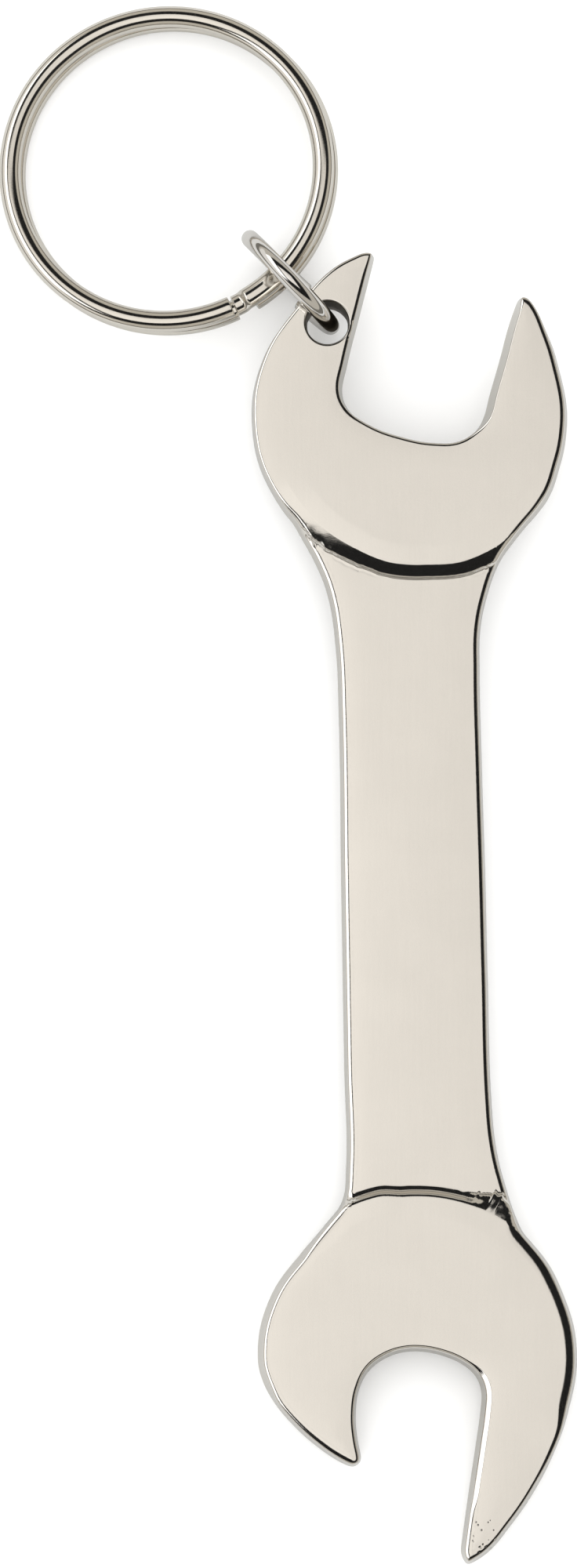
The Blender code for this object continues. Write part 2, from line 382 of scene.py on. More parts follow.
def inward(loop):
    """Unit normals into an anticlockwise loop."""
    tangent = np.roll(loop, -1, 0) - np.roll(loop, 1, 0)
    tangent /= np.linalg.norm(tangent, axis=1)[:, None]
    return np.column_stack([-tangent[:, 1], tangent[:, 0]])


def nearest(points, loop):
    """Distance from each point to a closed loop, the loop's nearest point and the index there."""
    edge = np.roll(loop, -1, 0) - loop
    square = np.sum(edge * edge, axis=1)
    distance = np.empty(len(points))
    place = np.empty((len(points), 2))
    index = np.empty(len(points), int)
    for first in range(0, len(points), POINTS_AT_ONCE):
        batch = slice(first, first + POINTS_AT_ONCE)
        part = points[batch]
        offset = part[:, None, :] - loop[None]
        t = np.clip(np.einsum("ijk,jk->ij", offset, edge) / square, 0, 1)
        gap = offset - t[..., None] * edge[None]
        squared = np.einsum("ijk,ijk->ij", gap, gap)
        best = np.argmin(squared, axis=1)
        rows = np.arange(len(part))
        distance[batch] = np.sqrt(squared[rows, best])
        place[batch] = loop[best] + t[rows, best, None] * edge[best]
        index[batch] = (best + (t[rows, best] > 0.5)) % len(loop)
    return distance, place, index


def inside(points, loop):
    """Whether each point is inside a closed loop."""
    x, y = points.T
    odd = np.zeros(len(points), bool)
    for (ax, ay), (bx, by) in zip(loop, np.roll(loop, -1, 0)):
        if ay == by:
            continue
        odd ^= ((ay > y) != (by > y)) & (x < (bx - ax) * (y - ay) / (by - ay) + ax)
    return odd


# ---------------------------------------------------------------- the casting


def edge_shape(edge, top):
    """Where the drafted wall, tight arc, facet and gentle arc meet, from the outline to the flat face.

    Returns the depth where the gentle arc ends, the tight arc's centre (across, up), the wall's lean and
    the depth at which the wall touches the tight arc.
    """
    width, gentle, facet, tight = edge.T
    turn_at = width - gentle * math.sin(SOFT_TURN)
    drop = gentle * (1 - math.cos(SOFT_TURN))
    across = turn_at - facet * math.cos(SOFT_TURN) + tight * math.sin(SOFT_TURN)
    up = top - drop - facet * math.sin(SOFT_TURN) - tight * math.cos(SOFT_TURN)
    reach = np.hypot(across, up)
    lean = np.arctan2(up, across) + np.arcsin(tight / reach)
    touch = np.sqrt(reach**2 - tight**2) * np.cos(lean)
    return turn_at, across, up, lean, touch


def edge_profile(depth, edge, top):
    """Height above mid-thickness and slope, at a depth inside the outline."""
    width, gentle, facet, tight = edge.T
    turn_at, across, up, lean, touch = edge_shape(edge, top)
    facet_end = turn_at - facet * math.cos(SOFT_TURN)
    wide = np.clip(width - depth, 0.0, gentle * 0.999)
    near = np.clip(across - depth, 0.0, tight * 0.9999)
    zones = [depth >= width, depth >= turn_at, depth >= facet_end, depth >= touch]
    gentle_rise = np.sqrt(gentle**2 - wide**2)
    tight_rise = np.sqrt(tight**2 - near**2)
    on_facet = top - gentle * (1 - math.cos(SOFT_TURN)) - (turn_at - depth) * math.tan(SOFT_TURN)
    facet_slope = np.full(len(top), math.tan(SOFT_TURN))
    heights = [top, top - gentle + gentle_rise, on_facet, up + tight_rise]
    slopes = [np.zeros(len(top)), wide / gentle_rise, facet_slope, near / tight_rise]
    height = np.select(zones, heights, depth * np.tan(lean))
    slope = np.select(zones, slopes, np.tan(lean))
    return height, slope


def profile_stations(edge, top):
    """Depths of the rows of vertices that follow the wall and the rounded edge."""
    width, gentle, facet, tight = edge.T
    turn_at, across, _, lean, touch = edge_shape(edge, top)
    rows = [0.5 * touch]
    for share in (0.0, 0.3, 0.6, 1.0):
        rows.append(across - tight * np.sin(lean + share * (SOFT_TURN - lean)))
    rows.append(turn_at)
    for share in (0.75, 0.5, 0.3, 0.15, 0.0):
        rows.append(width - gentle * math.sin(SOFT_TURN * share))
    return rows + [width + past for past in FACE_ROWS_PAST_EDGE]


def polar(points, centre):
    """Distance from the centre and angle in degrees of each point."""
    offset = np.asarray(points) - centre
    return np.hypot(*offset.T), np.degrees(np.arctan2(offset[:, 1], offset[:, 0]))


def cove_fall(name, share):
    """How much of the step has been lost at a share of the way across its cove."""
    places, slopes = COVES[name]
    fine = np.linspace(0.0, 1.0, 401)
    fallen = np.cumsum(np.interp(fine * places[-1], places, slopes))
    return np.interp(share, fine, fallen / fallen[-1])


def bump_in(value, low, high, soft):
    """1 between low and high, easing to 0 over soft outside them."""
    return ease((value - low) / soft + 1) * ease((high - value) / soft + 1)


def varied(start, angle, changes):
    """start plus the amount of each change where the angle is within its limits."""
    for low, high, soft, amount in changes:
        start = start + amount * bump_in(angle, low, high, soft)
    return start


def step_shape(name, points):
    """Distance past the raised face's edge, the cove's width, how ragged the cove is, and whether it is
    there at all: it is only on the shaft's side of the head."""
    step = STEPS[name]
    distance, angle = polar(points, step["centre"])
    wobble = noise(points, 0.9, 3) * 0.4 + noise(points, 0.4, 4) * 0.3
    if name == "jaw":
        angle = angle % 360
        sector = ease((angle - 204) / 28) * ease((336 - angle) / 14)
    else:
        sector = bump_in(angle, 32, 142, 10)
        teeth = noise(np.column_stack([angle, 0 * angle]), 1.2, 9)
        wobble = 0.8 * wobble + 1.2 * bump_in(angle, *CAP_TEETH) * np.clip(teeth, 0, 1)
    width = step["width"] * varied(1, angle, step["wider"])
    radius = varied(step["radius"], angle, step["larger"])
    ragged = varied(0, angle, step["ragged"])
    width = width * (1 + step["unevenness"] * ragged * wobble)
    return distance - radius, width, ragged, sector


def top_height(points):
    """Half thickness of the casting, away from its edges."""
    points = np.asarray(points)
    height = np.full(len(points), SHAFT_HALF)
    for name in STEPS:
        beyond, width, ragged, sector = step_shape(name, points)
        on_head = points[:, 1] > 0 if name == "jaw" else points[:, 1] < 0
        fall = cove_fall(name, beyond / width)
        if name == "cap":
            _, angle = polar(points, STEPS[name]["centre"])
            as_jaw = bump_in(angle, *CAP_COVE_AS_JAW)
            fall = fall + as_jaw * (cove_fall("jaw", beyond / width) - fall)
        height += (HEAD_HALF - SHAFT_HALF) * np.where(on_head, 1 - fall * sector, 0.0)
        if name == "jaw":
            line = np.exp(-(((beyond - width - GROOVE_FROM_COVE) / GROOVE_WIDTH) ** 2))
            line = line * np.clip(noise(points, 0.5, 7) + 0.5, 0, 1)
            height -= GROOVE_DEPTH * ragged * sector * line
        towards_cove = np.clip(1 + beyond / FACE_DROP_REACH, 0, 1)
        height -= FACE_DROP * sector * towards_cove**FACE_DROP_POWER * (1 - fall)
    for x, y, size in PITS:
        square = np.sum((points - (x, y)) ** 2, axis=1)
        height -= PIT_DEPTH_TO_SIZE * size * np.exp(-square / size**2)
    height += sum(high * noise(points, wide, seed) for high, wide, seed in WAVES)
    along = np.clip(1 - np.abs(points[:, 1]) / CROWN_HALF_LENGTH, 0, 1)
    return height - CROWN_FALL * (along * (points[:, 0] - CROWN_CENTRE_X) ** 2)


def edge_sizes(outline, normals):
    """The four edge sizes at each point of the outline, region by region."""
    out = -normals[:, 0]
    x, y = outline.T
    edge = np.tile(PLAIN_EDGE, (len(outline), 1))
    edge[:, 0] -= NARROWER_ON_THE_RIGHT * out
    jaw_distance, jaw_angle = polar(outline, JAW_HEAD_CENTRE)
    cap_distance, cap_angle = polar(outline, CAP_HEAD_CENTRE)
    jaw_angle = jaw_angle % 360
    on_jaw = (jaw_distance > HEAD_RADIUS - 0.4) & (y > 24)
    on_cap = (cap_distance > HEAD_RADIUS - 0.6) & (y < -25)
    long_prong = (y < -42.0) & (x > 3.2) & (out > 0.3)
    shares = {
        "jaw_left": on_jaw * bump_in(jaw_angle, 105, 205, 22),
        "jaw_right": on_jaw * bump_in((jaw_angle + 90) % 360, 60, 118, 12),
        "jaw_wall": (y > 34.0) & (x < -2.5) & (out > 0.3) & ~on_jaw,
        "prong_wall": (y > 33.5) & (x > 3.0) & (out < -0.3) & ~on_jaw,
        "cap_left": on_cap * bump_in(np.abs(cap_angle), 140, 180, 12),
        "cap_right": on_cap * bump_in(cap_angle, -16, 56, 12),
        "long_prong": long_prong * bump_in(y, -60, -44.5, 3.0),
        "jaw_floor": (y > 30.0) & (x > -4.6) & (x < 5.0) & (normals[:, 1] < -0.6) & ~on_jaw,
        "mouth_left": (y < -36.0) & (x < -2.6) & (out > 0.2) & ~on_cap,
        "mouth_top": (y < -34.0) & (y > -37.0) & (normals[:, 1] > 0.5) & ~on_cap,
        "mouth_right": (y < -36.2) & (x > 2.6) & (x < 5.4) & (out < 0.1) & ~on_cap,
    }
    for region, share in shares.items():
        edge = edge + share[:, None] * (np.array(EDGES[region]) - edge)
    return relax(edge, EDGE_SMOOTHING)


def spaced(points, cell):
    """One point for each square cell."""
    keys = np.floor(points / cell).astype(int)
    _, first = np.unique(keys, axis=0, return_index=True)
    return points[np.sort(first)]


def kept_inside(points, outline, width, clearance):
    """The points that are inside the outline and clear of its rounded edge."""
    distance, _, index = nearest(points, outline)
    return points[inside(points, outline) & (distance > width[index] + clearance)]


def face_points(outline, width):
    """Points of the flat faces: a loose grid, close rows across the two coves, and rings in the pits."""
    across = np.arange(*FACE_X_LIMITS, FACE_SPACING)
    rows = []
    for i, y in enumerate(np.arange(*FACE_Y_LIMITS, FACE_SPACING)):
        rows.append(np.column_stack([across + (i % 2) * FACE_SPACING / 2, np.full(len(across), y)]))
    grid = np.vstack(rows)
    for step in STEPS.values():
        distance, _ = polar(grid, step["centre"])
        beyond = distance - step["radius"]
        grid = grid[(beyond < -COVE_BAND[0]) | (beyond > COVE_BAND[1])]

    turns = np.linspace(0, 2 * math.pi, PIT_RING_SIDES, endpoint=False)
    circle = np.column_stack([np.cos(turns), np.sin(turns)])
    dimples = []
    for x, y, size in PITS:
        for share in PIT_RINGS:
            dimples.append(np.array((x, y)) + share * size * circle)

    bands = []
    past_edge = np.concatenate(
        [np.arange(-1.75, -0.3, 0.22), np.arange(-0.28, 1.75, 0.055), [1.9, 2.1, 2.3]]
    )
    for step in STEPS.values():
        for beyond in past_edge:
            radius = step["radius"] + beyond
            turns = np.radians(np.arange(*step["rows"], math.degrees(COVE_ROW_SPACING / radius)))
            circle = np.column_stack([np.cos(turns), np.sin(turns)])
            bands.append(step["centre"] + radius * circle)
    return np.vstack([
        kept_inside(grid, outline, width, GRID_CLEARANCE),
        kept_inside(np.vstack(bands), outline, width, COVE_CLEARANCE),
        kept_inside(np.vstack(dimples), outline, width, PIT_CLEARANCE),
    ])


def opener_pose():
    """From the opener's frame, in millimetres, to the CAD model's, in metres."""
    mounts = {mount["name"]: mount for mount in frame["record"]["mounts"]}
    front = mounts["cap_head_front"]
    tilt = math.asin(-front["axis"][1])
    hole = Vector(frame["joints"][0]["pos_m"]) / MM
    x = hole.x - HOLE_CENTRE[0]
    y = hole.y - HOLE_CENTRE[1] * math.cos(tilt)
    normal = Vector(front["axis"])
    lift = normal.dot(Vector(front["pos_m"]) / MM) - HEAD_HALF - normal.y * y
    return Matrix.Scale(MM, 4) @ Matrix.Translation((x, y, lift / normal.z)) @ Matrix.Rotation(tilt, 4, "X")


def new_piece(name, points, faces, material, loop_normals=None, bore_shade_and_pit_dark=None):
    mesh = bpy.data.meshes.new(name)
    mesh.from_pydata(points, [], faces)
    mesh.materials.append(material)
    mesh.shade_smooth()
    # Per-point values of the painted shade in the hole and of the darker pits, which the material reads
    if bore_shade_and_pit_dark is not None:
        layer = mesh.attributes.new("bore_shade_and_pit_dark", "FLOAT", "POINT")
        layer.data.foreach_set("value", bore_shade_and_pit_dark.astype(np.float32))
    if loop_normals is not None:
        mesh.normals_split_custom_set(loop_normals.tolist())
    piece = bpy.data.objects.new(name, mesh)
    bpy.context.scene.collection.objects.link(piece)
    return piece


def make_casting(material):
    """The casting: flat points triangulated inside the outline, raised to the face and mirrored below."""
    shapes = (jaw_head_outline(), shaft_outline(), cap_head_outline())
    outline = union_loop([curve_loop(knots) for knots in shapes])
    outline = relax(resample(outline, OUTLINE_SPACING), OUTLINE_SMOOTHING)
    normals = inward(outline)
    edge = edge_sizes(outline, normals)
    width = edge[:, 0]
    top = top_height(outline + normals * width[:, None])

    turns = np.linspace(0, 2 * math.pi, HOLE_SIDES, endpoint=False)
    rim = np.column_stack([np.cos(turns), np.sin(turns)])
    hole = HOLE_CENTRE + HOLE_RADIUS * rim
    hole_edge = np.array([HOLE_EDGE])

    loose = []
    for depth in profile_stations(edge, top):
        row = outline + normals * depth[:, None]
        distance, _, _ = nearest(row, outline)
        loose.append(row[(distance > depth - ROW_TOLERANCE) & inside(row, outline)])
    loose.append(face_points(outline, width))
    loose = np.vstack(loose)
    from_hole, _ = polar(loose, HOLE_CENTRE)
    loose = loose[from_hole > HOLE_RADIUS + HOLE_CLEARANCE]
    for depth in profile_stations(hole_edge, HEAD_HALF)[:-2]:
        row = HOLE_CENTRE + (HOLE_RADIUS + depth) * rim
        loose = np.vstack([loose, row])
    distance, _, _ = nearest(loose, outline)
    loose = loose[distance > OUTLINE_CLEARANCE]
    loose = spaced(loose, CELL)

    flat = np.vstack([outline, hole, loose])
    count, rim_count = len(outline), len(hole)
    outer = [(i, (i + 1) % count) for i in range(count)]
    inner = [(count + i, count + (i + 1) % rim_count) for i in range(rim_count)]
    found, _, triangles, origins, *_ = geometry.delaunay_2d_cdt(
        [Vector(p) for p in flat], outer + inner, [list(range(count))], 1, 1e-6
    )
    points = np.array([v[:2] for v in found])
    triangles = np.array(triangles)
    corners = points[triangles]
    centre_distance, _ = polar(corners.mean(axis=1), HOLE_CENTRE)
    twice = np.cross(corners[:, 1] - corners[:, 0], corners[:, 2] - corners[:, 0])
    off_hole = centre_distance > HOLE_RADIUS * 0.995
    triangles = triangles[off_hole & (np.abs(twice) > LEAST_TWICE_AREA)]
    first_origin = np.array([min(o) if o else count + rim_count for o in origins])
    on_outline = first_origin < count
    on_hole = (first_origin >= count) & (first_origin < count + rim_count)

    distance, place, index = nearest(points, outline)
    distance[on_outline] = 0.0
    towards = points - place
    length = np.linalg.norm(towards, axis=1)
    unit = towards / np.maximum(length, 1e-9)[:, None]
    towards = np.where(length[:, None] > 1e-4, unit, normals[index])
    towards[on_outline] = normals[index[on_outline]]

    level = top_height(points)
    slopes = []
    for probe in SLOPE_PROBE * np.eye(2):
        rise = top_height(points + probe) - top_height(points - probe)
        slopes.append(rise / (2 * SLOPE_PROBE))
    dip = EDGE_DIP * np.exp(-np.clip(distance - width[index], 0, None) / EDGE_DIP_REACH)
    level = level - dip
    height, slope = edge_profile(distance, edge[index], level)
    raised, _ = edge_profile(distance, edge[index], level + SLOPE_PROBE)
    follow = (raised - height) / SLOPE_PROBE
    slope = slope + follow * np.where(distance > width[index], dip / EDGE_DIP_REACH, 0.0)
    gradient = towards * slope[:, None] + np.column_stack(slopes) * follow[:, None]

    hole_distance, _ = polar(points, HOLE_CENTRE)
    hole_depth = np.where(on_hole, 0.0, hole_distance - HOLE_RADIUS)
    hole_height, hole_slope = edge_profile(hole_depth, np.repeat(hole_edge, len(points), axis=0), level)
    by_hole = (hole_depth < HOLE_EDGE[0]) & (hole_height < height)
    height = np.where(by_hole, hole_height, height)
    outward = (points - HOLE_CENTRE) / np.maximum(hole_distance, 1e-9)[:, None]
    gradient = np.where(by_hole[:, None], outward * hole_slope[:, None], gradient)
    height[on_outline | on_hole] = 0.0

    front_normal = np.column_stack([-gradient, np.ones(len(points))])
    front_normal /= np.linalg.norm(front_normal, axis=1)[:, None]
    back_normal = front_normal * (1, 1, -1)

    shared = on_outline | on_hole
    back_index = np.where(shared, np.arange(len(points)), 0)
    back_index[~shared] = len(points) + np.arange((~shared).sum())
    front = np.column_stack([points, height])
    back = front[~shared] * (1, 1, -1)
    back_faces = back_index[triangles][:, ::-1]
    pose = opener_pose()
    turn = np.array(pose.to_3x3().normalized())
    solid = np.vstack([front, back]) @ (turn.T * MM) + np.array(pose.translation)
    front_loops = front_normal[triangles.ravel()]
    back_loops = back_normal[triangles[:, ::-1].ravel()]
    loop_normals = np.vstack([front_loops, back_loops]) @ turn.T
    # Painted shade on the hole's bore and rim, then darker spots at the pits
    bore_shade_and_pit_dark = np.clip(1 - (hole_depth - PAINTED_BORE_SHADE_DEPTH) / PAINTED_BORE_SHADE_FADE, 0, 1)
    for x, y, size in PITS:
        square = np.sum((points - (x, y)) ** 2, axis=1)
        bore_shade_and_pit_dark = np.maximum(bore_shade_and_pit_dark, 0.8 * np.exp(-square / (0.7 * size) ** 2))
    bore_shade_and_pit_dark = np.concatenate([bore_shade_and_pit_dark, bore_shade_and_pit_dark[~shared]])
    faces = np.vstack([triangles, back_faces])
    return new_piece("opener_casting", solid.tolist(), faces.tolist(), material, loop_normals, bore_shade_and_pit_dark)


# ---------------------------------------------------------------- the rings


def wire_mesh(name, centres, across, up, section, material, place):
    """A wire along centres with closed ends.

    section is its width, height, squareness (2 is an ellipse) and the softness of its ends. The width
    lies along across and the height along up.
    """
    wide, tall, squareness, soft = section
    tangent = np.gradient(centres, axis=0)
    tangent /= np.linalg.norm(tangent, axis=1)[:, None]
    turns = np.linspace(0, 2 * math.pi, WIRE_SIDES, endpoint=False)
    power = 2 / squareness
    section_x = np.sign(np.cos(turns)) * np.abs(np.cos(turns)) ** power * wide / 2
    section_y = np.sign(np.sin(turns)) * np.abs(np.sin(turns)) ** power * tall / 2
    last = len(centres) - 1
    rounding = [(share, math.sqrt(1 - (1 - share) ** 2)) for share in (0.0, 0.08, 0.25, 0.5, 1.0)]
    rows = [(0, -soft * (1 - share), 1 - soft * (1 - size)) for share, size in rounding]
    rows += [(i, 0.0, 1.0) for i in range(1, last)]
    rows += [(last, soft * (1 - share), 1 - soft * (1 - size)) for share, size in rounding[::-1]]
    rings = []
    for i, along, scale in rows:
        middle = centres[i] + tangent[i] * along
        rim = section_x[:, None] * across[i] + section_y[:, None] * np.array(up)
        rings.append(middle + scale * rim)
    points = np.vstack(rings)
    faces = []
    for ring in range(len(rings) - 1):
        base = ring * WIRE_SIDES
        beyond = base + WIRE_SIDES
        for side in range(WIRE_SIDES):
            after = (side + 1) % WIRE_SIDES
            faces.append((base + side, base + after, beyond + after, beyond + side))
    faces.append(tuple(range(WIRE_SIDES))[::-1])
    faces.append(tuple(range((len(rings) - 1) * WIRE_SIDES, len(rings) * WIRE_SIDES)))
    turn = np.array(place.to_3x3())
    world = points @ turn.T + np.array(place.translation)
    piece = new_piece(name, world.tolist(), faces, material)
    piece.data.set_sharp_from_angle(angle=WIRE_SHARP_ANGLE)
    return piece


def make_jump_ring(material):
    """One turn of round wire through the hole, leaning over, with its two ends a little apart."""
    turns = JUMP_GAP_AT + JUMP_GAP / 2 + (2 * math.pi - JUMP_GAP) * np.linspace(0, 1, JUMP_STEPS)
    lean = JUMP_LEAN * (1 - np.sin(turns)) / 2
    pitch = JUMP_PITCH * (math.pi / 2 - turns) / (2 * math.pi)
    centres = np.column_stack(
        [JUMP_FROM_HOLE + JUMP_RADIUS * np.cos(turns), -(lean + pitch), JUMP_RADIUS * np.sin(turns)]
    )
    across = np.column_stack([np.cos(turns), np.zeros(JUMP_STEPS), np.sin(turns)])
    hole = Vector(frame["joints"][0]["pos_m"])
    place = Matrix.Translation(hole) @ Matrix.Rotation(JUMP_HEADING, 4, "Z") @ Matrix.Scale(MM, 4)
    section = (JUMP_WIRE, JUMP_WIRE, JUMP_SQUARENESS, JUMP_END_SOFTNESS)
    return wire_mesh("jump_ring_wire", centres, across, (0, 1, 0), section, material, place)


def make_split_ring(material):
    """Two turns of wire, the lower one rising to the upper one in two stages at the joggle."""
    turns = np.concatenate([
        np.linspace(SPLIT_START, JOGGLE_START - 0.02, TURN_STEPS),
        np.linspace(JOGGLE_START, JOGGLE_END + 0.02, JOGGLE_STEPS),
        np.linspace(JOGGLE_END + 0.04, SPLIT_END, TURN_STEPS),
    ])
    first = ease((turns - JOGGLE_START) / (JOGGLE_FLAT - JOGGLE_START))
    second = ease((turns - JOGGLE_RISE) / (JOGGLE_END - JOGGLE_RISE))
    rise = FIRST_RISE * first + (1 - FIRST_RISE) * second
    centres = np.column_stack(
        [
            SPLIT_RADIUS * np.cos(turns) + LOWER_TURN_SHIFT[0] * (1 - rise),
            SPLIT_RADIUS * np.sin(turns) + LOWER_TURN_SHIFT[1] * (1 - rise),
            SPLIT_PITCH * (rise - 0.5),
        ]
    )
    across = np.column_stack([np.cos(turns), np.sin(turns), np.zeros(len(turns))])
    hinge = Vector(frame["joints"][1]["pos_m"])
    half_height = (SPLIT_PITCH + SPLIT_WIRE_HEIGHT) / 2
    slope = math.asin((hinge.z / MM - half_height) / (2 * SPLIT_RADIUS))
    place = (
        Matrix.Translation(hinge)
        @ Matrix.Rotation(SPLIT_HEADING, 4, "Z")
        @ Matrix.Rotation(slope, 4, "Y")
        @ Matrix.Translation((SPLIT_RADIUS * MM, 0, 0))
        @ Matrix.Rotation(-SPLIT_HEADING, 4, "Z")
        @ Matrix.Scale(MM, 4)
    )
    section = (SPLIT_WIRE_WIDTH, SPLIT_WIRE_HEIGHT, SPLIT_SQUARENESS, SPLIT_END_SOFTNESS)
    return wire_mesh("split_ring_wire", centres, across, (0, 0, -1), section, material, place)


# ---------------------------------------------------------------- materials

# Colour of the painted shade inside the hole and on its rim, also used to darken the pits
BORE_SHADE_AND_PIT_COLOUR = (0.10, 0.085, 0.065)
BORE_SHADE_AND_PIT_ROUGHNESS = 0.35
NOISE_ROUGHNESS = 0.55
RIPPLE_STRENGTH = 0.35
# Noise in the plating: features per millimetre
GRAIN = 9.0
CLOUD = 0.22
STREAK = 5.0


def link(tree, source, target):
    tree.links.new(source, target)


def math_node(tree, operation, a, b):
    node = tree.nodes.new("ShaderNodeMath")
    node.operation = operation
    for socket, value in zip(node.inputs, (a, b)):
        if isinstance(value, float):
            socket.default_value = value
        else:
            link(tree, value, socket)
    return node.outputs[0]


def ramp(tree, value, low, high, out_low=0.0, out_high=1.0):
    """A smooth change from out_low to out_high as value goes from low to high."""
    node = tree.nodes.new("ShaderNodeMapRange")
    node.interpolation_type = "SMOOTHSTEP"
    link(tree, value, node.inputs["Value"])
    node.inputs["From Min"].default_value = low
    node.inputs["From Max"].default_value = high
    node.inputs["To Min"].default_value = out_low
    node.inputs["To Max"].default_value = out_high
    return node.outputs["Result"]


def mix_colour(tree, factor, a, b):
    """Colour a where the factor is 0 and b where it is 1."""
    node = tree.nodes.new("ShaderNodeMix")
    node.data_type = "RGBA"
    link(tree, factor, node.inputs["Factor"])
    for socket, value in ((node.inputs[6], a), (node.inputs[7], b)):
        if isinstance(value, tuple):
            socket.default_value = (*value, 1.0)
        else:
            link(tree, value, socket)
    return node.outputs[2]


def scaled_colour(tree, colour, factor):
    node = tree.nodes.new("ShaderNodeVectorMath")
    node.operation = "SCALE"
    node.inputs[0].default_value = colour
    link(tree, factor, node.inputs["Scale"])
    return node.outputs[0]


def noise_node(tree, stretch, scale, detail=3.0):
    """Noise with scale features per millimetre, drawn out along an axis by stretch."""
    coordinates = tree.nodes.new("ShaderNodeTexCoord")
    mapping = tree.nodes.new("ShaderNodeMapping")
    mapping.inputs["Scale"].default_value = [scale / MM / s for s in stretch]
    link(tree, coordinates.outputs["Object"], mapping.inputs["Vector"])
    node = tree.nodes.new("ShaderNodeTexNoise")
    node.inputs["Scale"].default_value = 1.0
    node.inputs["Detail"].default_value = detail
    node.inputs["Roughness"].default_value = NOISE_ROUGHNESS
    link(tree, mapping.outputs["Vector"], node.inputs["Vector"])
    return node.outputs["Fac"]


def nickel(name, colour, roughness, streaks, bump, with_bore_shade_and_pit_dark=False):
    """Bright nickel plate: a warm mirror with fine grain, faint polishing streaks and a slight ripple.

    streaks is how far they are drawn out, and bump is the depth of the ripple in millimetres. When asked
    for, the plate darkens by the mesh's own per-point values: painted shade in the hole and on its rim, and
    darker pits.
    """
    material = bpy.data.materials.new(name)
    material.use_nodes = True
    tree = material.node_tree
    shader = tree.nodes["Principled BSDF"]
    shader.inputs["Metallic"].default_value = 1.0
    grain = noise_node(tree, (1, 1, 1), GRAIN)
    cloud = noise_node(tree, (1, 1, 1), CLOUD, 4.0)
    streak = noise_node(tree, (1, streaks, 1), STREAK, 2.0)
    fine = ramp(tree, grain, 0.25, 0.75, -0.008, 0.008)
    broad = ramp(tree, cloud, 0.3, 0.7, -0.012, 0.012)
    drawn = ramp(tree, streak, 0.3, 0.7, -0.004, 0.004)
    tone = math_node(tree, "ADD", math_node(tree, "ADD", fine, broad), drawn)
    plate = scaled_colour(tree, colour, math_node(tree, "ADD", tone, 1.0))
    rough = ramp(tree, grain, 0.2, 0.8, roughness * 0.7, roughness * 1.4)
    # Painted shade in the hole and on its rim, and darker pits, from the mesh's per-point values
    if with_bore_shade_and_pit_dark:
        bore_shade_and_pit_dark = tree.nodes.new("ShaderNodeAttribute")
        bore_shade_and_pit_dark.attribute_name = "bore_shade_and_pit_dark"
        plate = mix_colour(tree, bore_shade_and_pit_dark.outputs["Fac"], plate, BORE_SHADE_AND_PIT_COLOUR)
        rougher = math_node(tree, "MULTIPLY", bore_shade_and_pit_dark.outputs["Fac"], BORE_SHADE_AND_PIT_ROUGHNESS)
        rough = math_node(tree, "ADD", rough, rougher)
    link(tree, plate, shader.inputs["Base Color"])
    link(tree, rough, shader.inputs["Roughness"])
    ripple = tree.nodes.new("ShaderNodeBump")
    ripple.inputs["Strength"].default_value = RIPPLE_STRENGTH
    ripple.inputs["Distance"].default_value = bump * MM
    relief = math_node(tree, "ADD", grain, math_node(tree, "MULTIPLY", streak, 0.25))
    link(tree, relief, ripple.inputs["Height"])
    link(tree, ripple.outputs["Normal"], shader.inputs["Normal"])
    return material


# ---------------------------------------------------------------- studio


SIDE_PANEL = (0.54, 0.51, 0.455)
EVERYWHERE = (-90.0, 90.0)
# What the polished metal mirrors, as patches on a level ceiling at unit height. Each row gives the colour,
# the X and Y limits and the softness, and covers the rows before it
CEILING = (
    (SIDE_PANEL, (1.15, 90.0), EVERYWHERE, 0.15),
    (SIDE_PANEL, EVERYWHERE, (-90.0, -1.10), 0.12),
    (SIDE_PANEL, EVERYWHERE, (1.10, 90.0), 0.12),
    ((0.84, 0.82, 0.79), (-90.0, -1.15), (-2.6, 2.6), 0.15),
    ((1.80, 1.80, 1.80), (-1.25, -0.57), (-0.62, 1.1), 0.07),
)
# The panel straight above, laid over the others. Its brightness falls off a little along X and along Y:
# first and last place, brightness at each
OVERHEAD_COLOUR = (0.935, 0.905, 0.865)
OVERHEAD_PLACE = ((-0.40, 0.38), (-0.34, 0.36), 0.05)
OVERHEAD_FADE_X = (-0.07, 0.05, 1.07, 0.94)
OVERHEAD_FADE_Y = (0.03, 0.21, 1.035, 0.93)
# Between the patches, and below the height at which the ceiling ends
DARK_STUDIO = (0.012, 0.012, 0.012)
HORIZON = (0.20, 0.19, 0.17)
HORIZON_FROM = 0.22
HORIZON_FULL = 0.18
LOWEST_CEILING_RAY = 0.02
# What the camera sees past the floor, and the even light on everything that isn't a mirror
BACKDROP = (1.0, 1.0, 1.0)
ROOM_LIGHT = (1.50, 1.50, 1.50)

# The floor is brighter to the camera than in reflections
FLOOR_HALF_SIDE = 3.0
FLOOR_SEEN = (0.97, 0.97, 0.965)
FLOOR_REFLECTED = (0.53, 0.53, 0.52)

# The camera's place and target are in millimetres, and the lamp's in metres
CAMERA_LENS = 156.1
CAMERA_SENSOR = 36.0
CAMERA_STAND = (5.23, -60.56, 500.0)
CAMERA_TARGET = (0.23, -0.76, 3.0)
LAMP_SIDE = 1.2
LAMP_ENERGY = 2.0
LAMP_PLACE = (0.0, 0.1, 1.4)


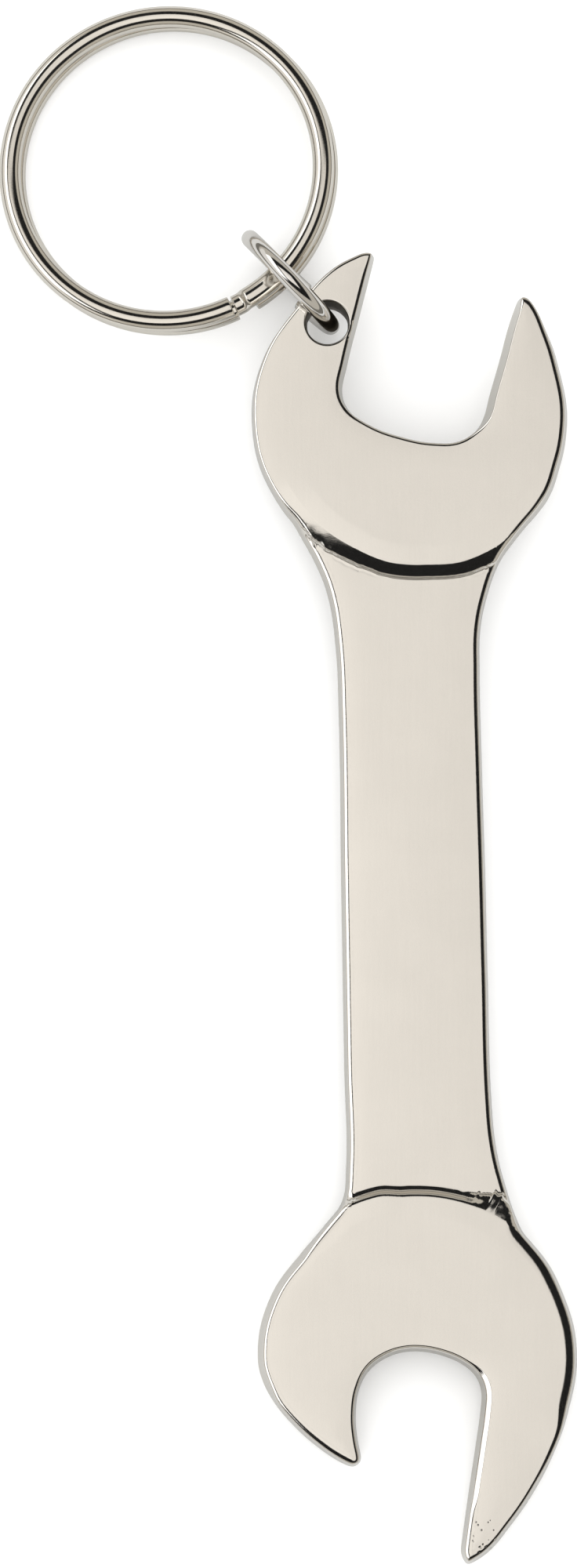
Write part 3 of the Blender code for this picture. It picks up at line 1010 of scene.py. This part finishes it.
def make_world():
    world = bpy.data.worlds.new("studio")
    bpy.context.scene.world = world
    world.use_nodes = True
    tree = world.node_tree
    background = tree.nodes["Background"]
    split = tree.nodes.new("ShaderNodeSeparateXYZ")
    link(tree, tree.nodes.new("ShaderNodeTexCoord").outputs["Generated"], split.inputs[0])
    height = math_node(tree, "MAXIMUM", split.outputs["Z"], LOWEST_CEILING_RAY)
    x = math_node(tree, "DIVIDE", split.outputs["X"], height)
    y = math_node(tree, "DIVIDE", split.outputs["Y"], height)
    fade = math_node(tree, "MULTIPLY", ramp(tree, x, *OVERHEAD_FADE_X), ramp(tree, y, *OVERHEAD_FADE_Y))
    overhead = scaled_colour(tree, OVERHEAD_COLOUR, fade)
    colour = DARK_STUDIO
    for tint, across, along, soft in (*CEILING, (overhead, *OVERHEAD_PLACE)):
        shares = []
        for value, (low, high) in ((x, across), (y, along)):
            edge_in = ramp(tree, value, low - soft, low + soft)
            edge_out = ramp(tree, value, high - soft, high + soft, 1.0, 0.0)
            shares.append(math_node(tree, "MULTIPLY", edge_in, edge_out))
        colour = mix_colour(tree, math_node(tree, "MULTIPLY", *shares), colour, tint)
    below = ramp(tree, split.outputs["Z"], HORIZON_FROM, HORIZON_FULL)
    colour = mix_colour(tree, below, colour, HORIZON)
    path = tree.nodes.new("ShaderNodeLightPath")
    colour = mix_colour(tree, path.outputs["Is Glossy Ray"], ROOM_LIGHT, colour)
    colour = mix_colour(tree, path.outputs["Is Camera Ray"], colour, BACKDROP)
    link(tree, colour, background.inputs["Color"])


def make_floor():
    side = FLOOR_HALF_SIDE
    points = [(-side, -side, 0), (side, -side, 0), (side, side, 0), (-side, side, 0)]
    material = bpy.data.materials.new("pale_floor")
    material.use_nodes = True
    tree = material.node_tree
    shader = tree.nodes["Principled BSDF"]
    seen = tree.nodes.new("ShaderNodeLightPath").outputs["Is Camera Ray"]
    link(tree, mix_colour(tree, seen, FLOOR_REFLECTED, FLOOR_SEEN), shader.inputs["Base Color"])
    shader.inputs["Roughness"].default_value = 1.0
    shader.inputs["Specular IOR Level"].default_value = 0.0
    new_piece("floor", points, [(0, 1, 2, 3)], material)


def make_camera():
    data = bpy.data.cameras.new("camera")
    data.lens = CAMERA_LENS
    data.sensor_width = CAMERA_SENSOR
    camera = bpy.data.objects.new("camera", data)
    bpy.context.scene.collection.objects.link(camera)
    stand = Vector(CAMERA_STAND) * MM
    target = Vector(CAMERA_TARGET) * MM
    back = (stand - target).normalized()
    right = Vector((0, 1, 0)).cross(back).normalized()
    up = back.cross(right)
    camera.matrix_world = Matrix.Translation(stand) @ Matrix((right, up, back)).transposed().to_4x4()
    bpy.context.scene.camera = camera


def make_lamp():
    """A soft panel above, for gentle shade under the pieces."""
    lamp = bpy.data.lights.new("soft_panel", "AREA")
    lamp.shape = "RECTANGLE"
    lamp.size = LAMP_SIDE
    lamp.size_y = LAMP_SIDE
    lamp.energy = LAMP_ENERGY
    holder = bpy.data.objects.new("soft_panel", lamp)
    holder.location = LAMP_PLACE
    holder.visible_glossy = False
    holder.visible_camera = False
    bpy.context.scene.collection.objects.link(holder)


bpy.context.scene.view_settings.view_transform = "Standard"
make_camera()
make_world()
make_lamp()
make_floor()

# The casting's plate carries the painted shade in the hole and the darker pits
plate_nickel = nickel("polished_nickel_casting", (0.80, 0.77, 0.72), 0.07, 30.0, 0.004, with_bore_shade_and_pit_dark=True)
jump_nickel = nickel("polished_nickel_jump_wire", (0.80, 0.78, 0.75), 0.06, 1.0, 0.003)
split_nickel = nickel("polished_nickel_split_wire", (0.80, 0.765, 0.70), 0.08, 1.0, 0.0018)

casting = make_casting(plate_nickel)
jump_ring = make_jump_ring(jump_nickel)
split_ring = make_split_ring(split_nickel)
for piece, body in ((casting, "opener_body"), (jump_ring, "jump_ring"), (split_ring, "split_ring")):
    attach(piece, body)
    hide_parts(body)
